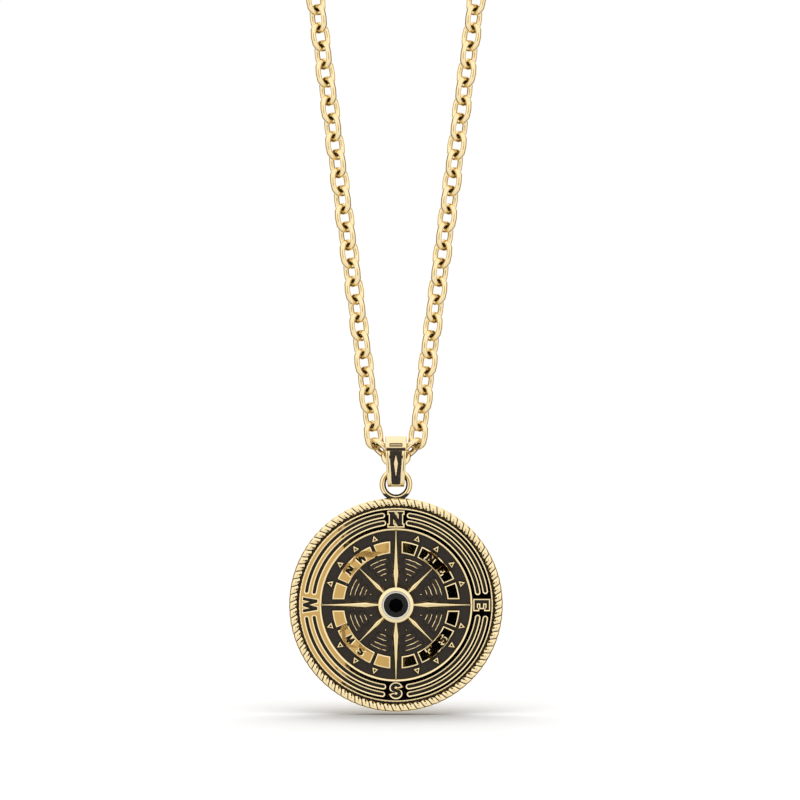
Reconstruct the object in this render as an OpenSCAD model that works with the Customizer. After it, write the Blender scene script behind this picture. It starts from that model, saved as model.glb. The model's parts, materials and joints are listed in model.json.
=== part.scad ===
// Compass pendant on its chain. Millimetres, Z up, the disc faces -Y.
// The origin is where the loop of chain hangs, at the inner side of its top.

/* [Disc] */
// Diameter over the rope edge
disc_d = 28; // [27:0.5:32]
// Thickness of the plate under the relief
plate_t = 1.1; // [0.8:0.1:1.6]
// Height of the raised relief over the ground
relief_h = 0.4; // [0.3:0.05:0.6]
// Depth of the slots and letters cut into the relief
cut_d = 0.25; // [0.15:0.05:0.3]
// Width of the dark groove inside the rope edge
groove_w = 0.33; // [0.2:0.05:0.5]
// Step from the back of the rope edge in to the back of the plate
back_step = 0.1; // [0:0.05:0.2]

/* [Rope edge] */
// Width of the rope edge
rope_w = 1.11; // [0.9:0.05:1.3]
// Thickness of the rope edge, front to back
rope_t = 1.8; // [1.6:0.1:2.4]
// Number of strands that show around the edge
rope_strands = 84; // [60:2:90]
// Angle of a strand from the radius
rope_lay = 32; // [15:1:40]
// Share of its place that a strand fills
strand_fill = 0.94; // [0.85:0.01:0.98]

/* [Compass ring] */
// Width of the raised ring that holds the four letters
band_w = 2.68; // [2.4:0.05:2.9]
// Width of the outer slots
slot_out_w = 0.53; // [0.3:0.05:0.6]
// Width of the inner slots
slot_in_w = 0.62; // [0.3:0.05:0.7]
// Width of the rail outside the outer slots
rail_out_w = 0.48; // [0.3:0.05:0.6]
// Width of the rail inside the inner slots
rail_in_w = 0.57; // [0.3:0.05:0.7]
// Angle left free for a letter, to each side of its middle
slot_free = 7.8; // [7:0.1:10]
// Height of the four letters
letter_h = 2.1; // [1.6:0.1:2.2]

/* [Dial] */
// Gap between the raised ring and the tips of the triangles
mark_gap = 0.35; // [0.2:0.05:0.5]
// Height of a triangle, along the radius
mark_h = 0.78; // [0.5:0.02:0.9]
// Width of a triangle
mark_w = 0.85; // [0.5:0.05:1]
// Gap between the triangles and the name plates
plate_gap = 0.38; // [0.2:0.02:0.5]
// Width of the name plates, along the radius
name_w = 1.62; // [1.4:0.02:1.8]
// Half the angle of a long name plate
name_half = 21.25; // [18:0.25:22]
// Angle between a long plate and its neighbours
name_space = 2.8; // [2:0.1:4]
// Distance of a short plate from the axis of its needle
needle_room = 0.72; // [0.6:0.02:0.9]
// Height of the small letters
small_h = 1.16; // [0.8:0.02:1.3]
// Number of ribs in each eighth of the dial
rib_rows = 3; // [1:1:3]
// Distance from rib to rib, along the radius
rib_pitch = 1.24; // [1.1:0.02:1.3]
// Width of a rib
rib_w = 0.76; // [0.5:0.02:0.85]
// Height of the ribs over the ground
rib_h = 0.22; // [0.1:0.02:0.3]
// Gap between the name plates and the first rib
rib_gap = 0.55; // [0.4:0.05:0.7]

/* [Needles] */
// Greatest width of the four long needles
needle_w = 0.76; // [0.6:0.02:0.9]
// Greatest width of the four short needles
short_w = 0.64; // [0.5:0.02:0.8]
// Width of a needle at its ends
needle_tip_w = 0.24; // [0.16:0.02:0.3]
// Height of the needles over the ground
needle_h = 0.55; // [0.45:0.05:0.8]

/* [Stone and bezel] */
// Diameter of the stone
stone_d = 3.4; // [3:0.1:3.8]
// Share of the stone's diameter that its table takes
table_share = 0.56; // [0.45:0.01:0.65]
// Height of the stone's crown over its girdle
crown_h = 0.5; // [0.35:0.05:0.6]
// Depth of the stone under its girdle
pavilion_h = 1.0; // [0.8:0.05:1.1]
// Outer diameter of the bezel
bezel_d = 4.68; // [4.5:0.02:5]
// Height of the bezel over the ground
bezel_h = 1.1; // [0.9:0.05:1.4]
// Thickness of the stone's girdle
girdle_h = 0.1; // [0.06:0.02:0.2]
// Share of the stone's crown that the bezel covers
crown_sunk = 0.3; // [0.2:0.05:0.5]
// Gap between the stone and its bezel
stone_gap = 0.05; // [0.03:0.01:0.1]
// Room under the stone's point
culet_room = 0.1; // [0.05:0.05:0.3]

/* [Ring on the disc] */
// Wire diameter of the soldered ring
ring_wire = 0.84; // [0.7:0.02:0.86]
// Inner diameter of the soldered ring
ring_hole = 2.65; // [2.6:0.05:3]
// Height of solder between the ring and the rope edge
solder_h = 0.42; // [0.3:0.02:0.5]

/* [Bail] */
// Height of the bail
bail_h = 6.74; // [6.5:0.02:7.4]
// Width of the bail at its top
bail_top_w = 2.8; // [2.5:0.05:2.85]
// Width of the bail at its bottom
bail_foot_w = 2.05; // [1.8:0.05:2.1]
// Thickness of the bail's band
bail_t = 0.5; // [0.42:0.01:0.54]
// Depth of the bail at its bottom, front to back
bail_foot_d = 3.6; // [3.55:0.05:3.9]
// Distance from the middle of the ring down to the bottom of the bail
foot_drop = 0.4; // [0.2:0.05:0.45]
// Room between the middle link and the inside of the bail
bail_room = 0.6; // [0.58:0.01:0.7]
// Depth of the panel sunk in the bail's face
panel_d = 0.2; // [0.1:0.02:0.25]
// Width of the raised rim beside the panel
panel_rim = 0.3; // [0.2:0.02:0.4]
// Width of the lozenge that stands on the panel
lozenge_w = 0.84; // [0.5:0.02:1]
// Gap under the lozenge
lozenge_foot = 0.9; // [0.6:0.05:1.2]
// Gap over the lozenge
lozenge_gap = 0.35; // [0.2:0.05:0.6]

/* [Chain] */
// Wire diameter of a link
wire_d = 0.75; // [0.65:0.01:0.76]
// Distance from link to link along the chain
pitch = 2.39; // [2.36:0.01:2.6]
// Outer width of a link
link_w = 3.1; // [3:0.02:3.2]
// Play between two links that hook into each other
link_play = 0.12; // [0.11:0.01:0.16]
// Turn of the links about the line of the chain
link_roll = 40; // [34:1:41]
// Turn of the middle link, which the bail hangs on
middle_roll = 117; // [116:1:118]
// Angle of each side of the loop from the vertical
side_angle = 7.6; // [6:0.1:9]
// Steepness of the two links beside the middle one
shoulder_angle = 43.5; // [43:0.5:44]
// Turn of those two links about their own line
shoulder_roll = 24; // [23:1:25]
// Number of links on the left of the middle one
links_left = 112; // [100:2:118]
// Number of links on the straight part of a side
links_straight = 91; // [84:1:94]

/* [Clasp] */
// Length of the clasp between the two rings that it joins
clasp_len = 9; // [8:0.2:11]
// Width of the clasp
clasp_w = 4.4; // [4.2:0.1:5]
// Thickness of the clasp
clasp_t = 1.6; // [1.2:0.1:1.8]
// Thickness of the clasp's eye
eye_t = 0.9; // [0.7:0.05:1]
// Inner diameter of the clasp's eye
eye_hole = 1.85; // [1.8:0.05:2]
// Width of the metal round the eye
eye_wall = 0.65; // [0.5:0.05:0.8]
// Width of the claw's metal
claw_wall = 1; // [0.8:0.05:1.1]
// Length of the neck between the eye and the body
neck_l = 0.15; // [0:0.05:0.5]
// Wire diameter of the clasp's end ring
end_wire = 0.9; // [0.8:0.05:1]
// Inner diameter of the clasp's end ring
end_hole = 3.1; // [2.9:0.1:3.6]
// Distance from the top of the loop to the point that it hangs from
hang_gap = 0.3; // [0.1:0.05:0.5]

/* [Hidden] */
$fn = 72;
eps = 0.05;

GOLD = "#D9B36C";
DARK = "#2B2622";

// Disc, from its rim inwards. Heights are measured from the middle of its thickness.
disc_r = disc_d / 2;
rope_in = disc_r - rope_w;
rope_mid = disc_r - rope_w / 2;
strand_r = rope_mid * PI / rope_strands * cos(rope_lay) * strand_fill;
rope_core_r = disc_r - strand_r / 2;
back_z = -rope_t / 2 + back_step;
ground_z = back_z + plate_t;
relief_z = ground_z + relief_h;
strand_z = rope_t / 2 - strand_r;
band_out = rope_in - groove_w;
band_in = band_out - band_w;
slot_out_r = band_out - rail_out_w - slot_out_w / 2;
slot_in_r = band_in + rail_in_w + slot_in_w / 2;
letter_r = (band_out + band_in) / 2;
mark_out = band_in - mark_gap;
mark_in = mark_out - mark_h;
name_out = mark_in - plate_gap;
name_in = name_out - name_w;
name_mid = (name_out + name_in) / 2;
rib_out = name_in - rib_gap;
bezel_r = bezel_d / 2;
stone_r = stone_d / 2;
bezel_in = stone_r + stone_gap;
girdle_z = ground_z + bezel_h - crown_h * crown_sunk - girdle_h;
bezel_lip = (bezel_r - bezel_in) * 0.45;

// Ring on the disc: the outside of its wire dips into the rope edge.
ring_r = (ring_hole + ring_wire) / 2;
ring_z = disc_r + solder_h + ring_hole / 2;

// Bail: a band round two cylinders that lie along X, one at the chain and one in the ring.
foot_r = bail_foot_d / 2;
foot_z = ring_z - foot_drop + foot_r;
foot_low = foot_z - foot_r;
bail_top = foot_low + bail_h;
link_in = pitch + link_play;
link_len = link_in + 2 * wire_d;
head_r = link_w / 2 + bail_room + bail_t;
head_z = bail_top - head_r;
leg_lean = asin((head_r - foot_r) / (head_z - foot_z));
bail_taper_z = head_z + head_r * 0.4;
lozenge_low = foot_low + lozenge_foot;
lozenge_top = bail_taper_z - lozenge_gap;
lozenge_mid = lozenge_low + (lozenge_top - lozenge_low) * 0.59;

// Chain. Its joints with each other are numbered from the middle link up the left side.
// The middle of the first link beside the middle one, and that link's upper joint.
shoulder_share = [-0.798, 0.396];
first_share = [1.152, 0.655];
shoulder_link = [pitch * shoulder_share[0], head_z + pitch * shoulder_share[1]];
shoulder_x = pitch * first_share[0];
shoulder_z = head_z + pitch * first_share[1];
run_len = (links_straight - 1) * pitch;
run_x = shoulder_x + run_len * sin(side_angle);
run_z = shoulder_z + run_len * cos(side_angle);
arc_r = run_x / cos(side_angle);
arc_z = run_z + arc_r * sin(side_angle);
clasp_turn = 2 * asin(clasp_len / 2 / arc_r);
end_turn = 2 * asin((end_hole - link_play) / 2 / arc_r);
links_arc = links_left - links_straight;
arc_step = (90 + side_angle - (clasp_turn + end_turn) / 2) / (links_arc - 0.5);
clasp_from = -(clasp_turn + end_turn - arc_step) / 2;
hang_depth = clasp_w / 2 * sin(link_roll) + clasp_t / 2 * cos(link_roll) + hang_gap;
hang_z = arc_z + arc_r - hang_depth;

// Clasp. A flat wall of thickness t in a round end of radius r stands off by this much,
// so that its corners are clear where the chain bends there.
function corner_room(r, t, bend) = let (joint = r - link_play / 2)
    joint - sqrt(pow(r - link_play, 2) - pow(t / 2 + joint * sin(bend), 2));
eye_room = corner_room(link_w / 2 - wire_d, eye_t, (clasp_turn + arc_step) / 2);
claw_room = corner_room(end_hole / 2, clasp_t, (clasp_turn + end_turn) / 2);

// The end of a link on the left side, as [x, z] from the middle of the disc.
function chain_joint(k) = k <= links_straight ?
        [-shoulder_x - (k - 1) * pitch * sin(side_angle),
         shoulder_z + (k - 1) * pitch * cos(side_angle)] :
    arc_point(-90 - side_angle + (k - links_straight) * arc_step);

// A point on the arc at the top of the loop, turned clockwise from the top.
function arc_point(turn) = [arc_r * sin(turn), arc_z + arc_r * cos(turn)];

// Points of a curved stroke, from angle a0 to a1.
function arc_stroke(r, w, a0, a1, n) = concat(
    [for (i = [0:n]) let (a = a0 + (a1 - a0) * i / n) (r + w / 2) * [cos(a), sin(a)]],
    [for (i = [n:-1:0]) let (a = a0 + (a1 - a0) * i / n) (r - w / 2) * [cos(a), sin(a)]]);

// Moves a part that is drawn from the middle of the disc to the frame of the whole.
module from_disc() { translate([0, 0, -hang_z]) children(); }

// Stands the disc's drawing plane upright, its front to -Y.
module upright() { from_disc() rotate([90, 0, 0]) children(); }

// Places children at a bearing, clockwise from north, with north up at their middle.
module at_bearing(bearing, r) { rotate([0, 0, -bearing]) translate([0, r, 0]) children(); }

// A raised piece of a ring between two bearings.
module ring_piece(outer, inner, from, to, h) {
    rotate([0, 0, 90 - to]) rotate_extrude(angle = to - from)
        translate([inner, 0]) square([outer - inner, h]);
}

// The four letters of the compass and the pairs between them, as strokes in a square.
module bar(x, y, w, h) { translate([x, y]) square([w, h]); }
module slant(x0, x1, w, h) { polygon([[x0, 0], [x0 + w, 0], [x1 + w, h], [x1, h]]); }

module letter_n(w, h, s) {
    bar(-w / 2, -h / 2, s, h);
    bar(w / 2 - s, -h / 2, s, h);
    translate([0, -h / 2]) slant(w / 2 - s * 1.3, -w / 2, s * 1.3, h);
}

module letter_e(w, h, s) {
    bar(-w / 2, -h / 2, s * 1.2, h);
    for (y = [-h / 2, -s / 2, h / 2 - s]) bar(-w / 2, y, w, s);
}

module letter_w(w, h, s) {
    for (side = [0, 1]) mirror([side, 0]) translate([0, -h / 2]) {
        slant(-w / 4 - s / 2, -w / 2, s, h);
        slant(-w / 4 - s / 2, -s / 2, s, h);
    }
}

module letter_s(w, h, s) {
    r = (h - s) / 4;
    wide = (w - s) / (2 * r);
    for (half = [0, 1]) rotate([0, 0, 180 * half]) translate([0, r])
        polygon([for (p = arc_stroke(r, s, 20, 270, 10)) [p[0] * wide, p[1]]]);
}

module serifs(w, h, s, feet) {
    for (x = feet, y = [-h / 2, h / 2 - s / 2]) bar(x * (w - s) / 2 - s, y, s * 2, s / 2);
}

module big_letter(which, h) {
    s = h * 0.2;
    w = h * 0.95;
    if (which == "N") { letter_n(w * 0.86, h, s); serifs(w * 0.86, h, s, [-1, 1]); }
    if (which == "E") letter_e(w * 0.7, h, s * 0.9);
    if (which == "S") letter_s(w * 0.72, h, s);
    if (which == "W") letter_w(w * 1.1, h, s * 0.9);
}

module small_letter(which, h) {
    s = h * 0.2;
    if (which == "N") letter_n(h * 0.82, h, s);
    if (which == "E") letter_e(h * 0.62, h, s);
    if (which == "S") letter_s(h * 0.68, h, s);
    if (which == "W") letter_w(h * 1.05, h, s);
}

// A needle lies along north, from the bezel to its tip, widest before its middle.
module needle(tip, w, h) {
    root = bezel_r - eps;
    belly = root + (tip - root) * 0.22;
    linear_extrude(h) polygon([
        [-needle_tip_w / 2, root], [needle_tip_w / 2, root], [w / 2, belly],
        [w * 0.4, root + (tip - root) * 0.62], [needle_tip_w / 2, tip],
        [-needle_tip_w / 2, tip], [-w * 0.4, root + (tip - root) * 0.62], [-w / 2, belly]]);
}

module rope_edge() {
    reach = rope_w / cos(rope_lay) + 2 * strand_r;
    translate([0, 0, -rope_t / 2]) difference() {
        cylinder(r = rope_core_r, h = rope_t - strand_r);
        translate([0, 0, -eps]) cylinder(r = rope_in + strand_r / 3, h = rope_t);
    }
    intersection() {
        for (i = [0:rope_strands - 1]) rotate([0, 0, i * 360 / rope_strands])
            translate([rope_mid, 0, strand_z]) rotate([0, 0, rope_lay])
                rotate([0, 90, 0]) cylinder(r = strand_r, h = reach, center = true, $fn = 24);
        difference() {
            cylinder(r = disc_r, h = rope_t, center = true);
            cylinder(r = rope_in, h = rope_t * 2, center = true);
        }
    }
}

module slot(r, w) {
    end = asin(w / 2 / r);
    ring_piece(r + w / 2, r - w / 2, slot_free + end, 90 - slot_free - end, cut_d + eps);
    for (b = [slot_free + end, 90 - slot_free - end])
        at_bearing(b, r) cylinder(d = w, h = cut_d + eps);
}

module compass_band() {
    difference() {
        translate([0, 0, back_z + eps]) difference() {
            cylinder(r = band_out, h = relief_z - back_z - eps);
            translate([0, 0, -eps]) cylinder(r = band_in, h = plate_t + relief_h + eps);
        }
        translate([0, 0, relief_z - cut_d]) {
            for (q = [0:3]) rotate([0, 0, -90 * q]) {
                slot(slot_out_r, slot_out_w);
                slot(slot_in_r, slot_in_w);
            }
            for (q = [0:3]) at_bearing(90 * q, letter_r)
                linear_extrude(cut_d + eps) big_letter("NESW"[q], letter_h);
        }
    }
}

module name_plates() {
    short_end = 45 - name_half - name_space;
    pairs = ["NE", "SE", "SW", "NW"];
    for (q = [0:3]) rotate([0, 0, -90 * q]) {
        difference() {
            ring_piece(name_out, name_in, 45 - name_half, 45 + name_half, relief_z);
            for (side = [0, 1]) at_bearing(45 + (side ? 8 : -8), name_mid)
                translate([0, 0, relief_z - cut_d])
                    linear_extrude(cut_d + eps)
                        small_letter(pairs[q][side], small_h);
        }
        for (side = [0, 1]) rotate([0, 0, side ? -90 : 0]) mirror([side, 0])
            intersection() {
                ring_piece(name_out, name_in, 0, short_end, relief_z);
                translate([needle_room, 0, -eps]) cube([name_out, name_out, relief_z * 2]);
            }
    }
}

module ribs() {
    for (e = [0:7], k = [0:rib_rows - 1])
        rotate([0, 0, -45 * e]) {
            outer = rib_out - k * rib_pitch;
            inner = outer - (k == 2 ? rib_w / 2 : rib_w);
            inset = needle_w * (k == 2 ? 1.6 : 1.1);
            ring_piece(outer, inner, asin(inset / inner), 45 - asin(inset / inner), ground_z + rib_h);
        }
}

module triangles() {
    for (q = [0:3], m = [1:4]) at_bearing(90 * q + 18 * m, mark_in)
        linear_extrude(relief_z)
            polygon([[-mark_w / 2, 0], [mark_w / 2, 0], [0, mark_h]]);
}

module bezel() {
    difference() {
        cylinder(r = bezel_r, h = ground_z + bezel_h);
        translate([0, 0, girdle_z - pavilion_h - culet_room])
            cylinder(r = bezel_in, h = ground_z + bezel_h);
        translate([0, 0, ground_z + bezel_h - bezel_lip])
            cylinder(r1 = bezel_in, r2 = bezel_in + bezel_lip * 1.1, h = bezel_lip * 1.1);
    }
}

module top_ring() {
    translate([0, ring_z]) rotate_extrude() translate([ring_r, 0]) circle(d = ring_wire);
    translate([-ring_r * 0.75, disc_r - rope_w / 2, -ring_wire * 0.36])
        cube([ring_r * 1.5, rope_w / 2 + solder_h * 0.7, ring_wire * 0.72]);
}

module medallion() color(GOLD) upright() difference() {
    union() {
        translate([0, 0, back_z]) cylinder(r = rope_in + strand_r / 2, h = plate_t);
        rope_edge();
        compass_band();
        name_plates();
        ribs();
        triangles();
        for (q = [0:3]) rotate([0, 0, 90 * q]) {
            needle(band_in + eps, needle_w, ground_z + needle_h);
            rotate([0, 0, 45]) needle(name_in + eps, short_w, ground_z + needle_h * 0.9);
        }
        bezel();
        top_ring();
    }
    translate([0, 0, girdle_z - pavilion_h - culet_room]) cylinder(r = bezel_in, h = rope_t * 2);
}

// A round cut: eight-sided table, girdle of sixteen corners, culet.
module black_stone() color(DARK) upright() translate([0, 0, girdle_z]) {
    table = [for (i = [0:7]) let (a = 45 * i) [stone_r * table_share * cos(a),
        stone_r * table_share * sin(a), girdle_h + crown_h]];
    star = [for (i = [0:7]) let (a = 45 * i + 22.5) [stone_r * 0.8 * cos(a),
        stone_r * 0.8 * sin(a), girdle_h + crown_h * 0.52]];
    rim = [for (z = [girdle_h, 0], i = [0:15]) let (a = 22.5 * i)
        [stone_r * cos(a), stone_r * sin(a), z]];
    polyhedron(points = concat(table, star, rim, [[0, 0, -pavilion_h]]), faces = concat(
        [[7, 6, 5, 4, 3, 2, 1, 0]],
        [for (i = [0:7]) [i, (i + 1) % 8, 8 + i]],
        [for (i = [0:7]) [i, 8 + i, 16 + 2 * i, 8 + (i + 7) % 8]],
        [for (i = [0:7]) [8 + i, 17 + 2 * i, 16 + 2 * i]],
        [for (i = [0:7]) [8 + i, 16 + (2 * i + 2) % 16, 17 + 2 * i]],
        [for (i = [0:15]) [16 + i, 16 + (i + 1) % 16, 32 + (i + 1) % 16, 32 + i]],
        [for (i = [0:15]) [32 + i, 32 + (i + 1) % 16, 48]]));
}

// Side view of the bail's loop, a solid of radius less by the given amount.
module loop_solid(less, w) {
    rotate([0, 90, 0]) {
        translate([-head_z, 0]) cylinder(r = head_r - less, h = w, center = true);
        translate([-foot_z, 0]) cylinder(r = foot_r - less, h = w, center = true);
        linear_extrude(w, center = true) polygon([
            for (side = [1, -1]) for (e = (side == 1 ? [[foot_z, foot_r], [head_z, head_r]]
                                                    : [[head_z, head_r], [foot_z, foot_r]]))
                [-e[0] + (e[1] - less) * sin(leg_lean), side * (e[1] - less) * cos(leg_lean)]]);
    }
}

// Front view of the bail, narrower at its foot, less an even rim.
module bail_front(rim) {
    top = bail_top_w / 2 - rim;
    foot = bail_foot_w / 2 - rim;
    polygon([[-foot, foot_low - 1], [foot, foot_low - 1], [top, bail_taper_z], [top, bail_top + 1],
             [-top, bail_top + 1], [-top, bail_taper_z]]);
}

module bail() color(GOLD) from_disc() difference() {
    intersection() {
        difference() {
            loop_solid(0, bail_top_w + 1);
            loop_solid(bail_t, bail_top_w + 2);
        }
        rotate([90, 0, 0]) linear_extrude(head_r * 3, center = true) bail_front(0);
    }
    intersection() {
        difference() {
            loop_solid(-1, bail_top_w + 1);
            loop_solid(panel_d, bail_top_w + 2);
        }
        difference() {
            rotate([90, 0, 0]) linear_extrude(head_r * 2) intersection() {
                bail_front(panel_rim);
                translate([-bail_top_w, foot_low + panel_rim])
                    square([bail_top_w * 2, bail_taper_z - foot_low - panel_rim]);
            }
            rotate([90, 0, 0]) linear_extrude(head_r * 3) polygon([
                [0, lozenge_low], [lozenge_w / 2, lozenge_mid], [0, lozenge_top],
                [-lozenge_w / 2, lozenge_mid]]);
        }
    }
}

// One link of round wire: two straight sides and two half rings.
module link(length, width, wire) {
    r = (width - wire) / 2;
    flat = length - width;
    for (end = [0, 1]) mirror([end, 0]) translate([flat / 2, 0])
        rotate([0, 0, -90]) rotate_extrude(angle = 180) translate([r, 0]) circle(d = wire, $fn = 24);
    for (side = [-1, 1]) translate([0, side * r]) rotate([0, 90, 0])
        cylinder(d = wire, h = flat, center = true, $fn = 24);
}

// Places children between two chain joints, turned about the line that joins them.
module between(a, b, roll) {
    mid = (a + b) / 2;
    translate([mid[0], 0, mid[1]])
        rotate([0, -atan2(b[1] - a[1], b[0] - a[0]), 0]) rotate([roll, 0, 0]) children();
}

module chain_side(count) {
    step = pitch / 2 * [cos(shoulder_angle), -sin(shoulder_angle)];
    between(shoulder_link + step, shoulder_link - step, shoulder_roll)
        link(link_len, link_w, wire_d);
    for (k = [2:count])
        between(chain_joint(k - 1), chain_joint(k), link_roll + (k % 2 == 0 ? 90 : 0))
            link(link_len, link_w, wire_d);
}

module chain_left() color(GOLD) from_disc() {
    between([pitch / 2, head_z], [-pitch / 2, head_z], middle_roll)
        link(link_len, link_w, wire_d);
    chain_side(links_left);
}

module chain_right() color(GOLD) from_disc() mirror([1, 0, 0]) chain_side(links_left - 1);

// A lobster clasp drawn closed, its eye towards the left side of the chain.
module clasp() color(GOLD) from_disc()
    between(arc_point(clasp_from), arc_point(clasp_from + clasp_turn), link_roll) {
        eye_x = (eye_hole - clasp_len) / 2 - eye_room;
        claw_r = clasp_w / 2;
        claw_hole = claw_r - claw_wall;
        claw_x = clasp_len / 2 + claw_room - claw_hole;
        body_r = claw_r * 0.86;
        body_x = eye_x + eye_hole / 2 + neck_l + body_r;
        difference() {
            union() {
                translate([eye_x, 0]) cylinder(d = eye_hole + 2 * eye_wall, h = eye_t, center = true);
                translate([claw_x, 0]) cylinder(r = claw_r, h = clasp_t, center = true);
                translate([body_x, 0]) cylinder(r = body_r, h = clasp_t, center = true);
                translate([(body_x + claw_x) / 2, 0])
                    cube([claw_x - body_x, body_r * 1.98, clasp_t], center = true);
            }
            translate([eye_x, 0]) cylinder(d = eye_hole, h = clasp_t * 2, center = true);
            translate([claw_x, 0]) cylinder(r = claw_hole, h = clasp_t * 2, center = true);
            translate([(body_x + claw_x) / 2, 0])
                cube([claw_x - body_x, claw_hole * 1.2, clasp_t * 2], center = true);
        }
    }

module end_ring() color(GOLD) from_disc() {
    a = arc_point(clasp_from + clasp_turn);
    b = arc_point(clasp_from + clasp_turn + end_turn);
    between(a, b, link_roll + 90)
        rotate_extrude() translate([(end_hole + end_wire) / 2, 0]) circle(d = end_wire, $fn = 24);
}

medallion();
black_stone();
bail();
chain_left();
chain_right();
clasp();
end_ring();
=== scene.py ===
"""A compass pendant on its chain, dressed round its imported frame.

The file is laid out as a Blender add-on. Each piece has an operator, and the panel in the sidebar
of the 3D view lists them. Run as a script, it makes all of them in order.
"""

import json
import math

import bmesh
import bpy
from mathutils import Matrix, Vector


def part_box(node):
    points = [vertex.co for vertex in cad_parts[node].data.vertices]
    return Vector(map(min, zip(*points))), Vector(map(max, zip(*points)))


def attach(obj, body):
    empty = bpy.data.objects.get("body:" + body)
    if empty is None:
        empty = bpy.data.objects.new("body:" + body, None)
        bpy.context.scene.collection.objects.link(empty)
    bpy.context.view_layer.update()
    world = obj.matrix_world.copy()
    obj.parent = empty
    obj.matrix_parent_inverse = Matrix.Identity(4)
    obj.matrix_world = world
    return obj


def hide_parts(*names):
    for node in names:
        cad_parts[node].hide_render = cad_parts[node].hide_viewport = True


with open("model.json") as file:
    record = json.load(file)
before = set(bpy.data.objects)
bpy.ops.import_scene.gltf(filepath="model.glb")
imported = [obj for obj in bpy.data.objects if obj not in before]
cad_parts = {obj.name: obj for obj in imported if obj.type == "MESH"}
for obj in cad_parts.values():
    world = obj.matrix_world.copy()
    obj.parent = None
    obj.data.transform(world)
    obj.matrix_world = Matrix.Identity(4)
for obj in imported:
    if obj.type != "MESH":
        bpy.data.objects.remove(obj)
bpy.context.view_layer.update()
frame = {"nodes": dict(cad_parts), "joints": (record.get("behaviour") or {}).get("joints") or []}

bl_info = {
    "name": "Compass pendant",
    "version": (1, 0, 0),
    "blender": (4, 5, 0),
    "location": "View3D > Sidebar > Compass pendant",
    "description": "Makes the visible pieces of a compass pendant on its chain",
    "category": "Add Mesh",
}

MM = 0.001
FULL_TURN = 2 * math.pi
# Points nearer to each other than this, in metres, are one point.
SAME_PLACE = 1e-7
# A face whose normal stands up by more than this is level, and stays flat when its piece is smoothed.
LEVEL = 0.9998

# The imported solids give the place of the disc, and of what hangs it.
DISC_LOW, DISC_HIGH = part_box("medallion")
DISC_R = DISC_HIGH.x
DISC_Z = DISC_LOW.z + DISC_R
ROPE_FRONT = DISC_HIGH.y
BAIL_LOW, BAIL_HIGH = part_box("bail")
JOINT_Z = {j["name"]: j["pos_m"][2] for j in frame["joints"]}

# The disc is drawn flat, as millimetres or metres from its middle with its front up.
UPRIGHT = Matrix.Translation((0, 0, DISC_Z)) @ Matrix.Rotation(math.pi / 2, 4, "X")


def length(name, description, default_mm):
    """A size that the panel shows, in metres, with its default in millimetres."""
    return bpy.props.FloatProperty(
        name=name, description=description, default=default_mm * MM, min=0.0, unit="LENGTH", precision=5
    )


def turn(name, description, default_degrees):
    """An angle that the panel shows, with its default in degrees."""
    return bpy.props.FloatProperty(
        name=name, description=description, default=math.radians(default_degrees), subtype="ANGLE"
    )


def tint(name, description, hex_code):
    """A colour that the panel shows, with its default as an sRGB hex code."""
    return bpy.props.FloatVectorProperty(
        name=name, description=description, default=linear(hex_code), size=4, min=0.0, max=1.0, subtype="COLOR"
    )


def linear(hex_code):
    """The linear colour of an sRGB hex code such as EECC8F."""
    parts = [int(hex_code[i : i + 2], 16) / 255 for i in (0, 2, 4)]
    return tuple(p / 12.92 if p <= 0.04045 else ((p + 0.055) / 1.055) ** 2.4 for p in parts) + (1.0,)


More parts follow.
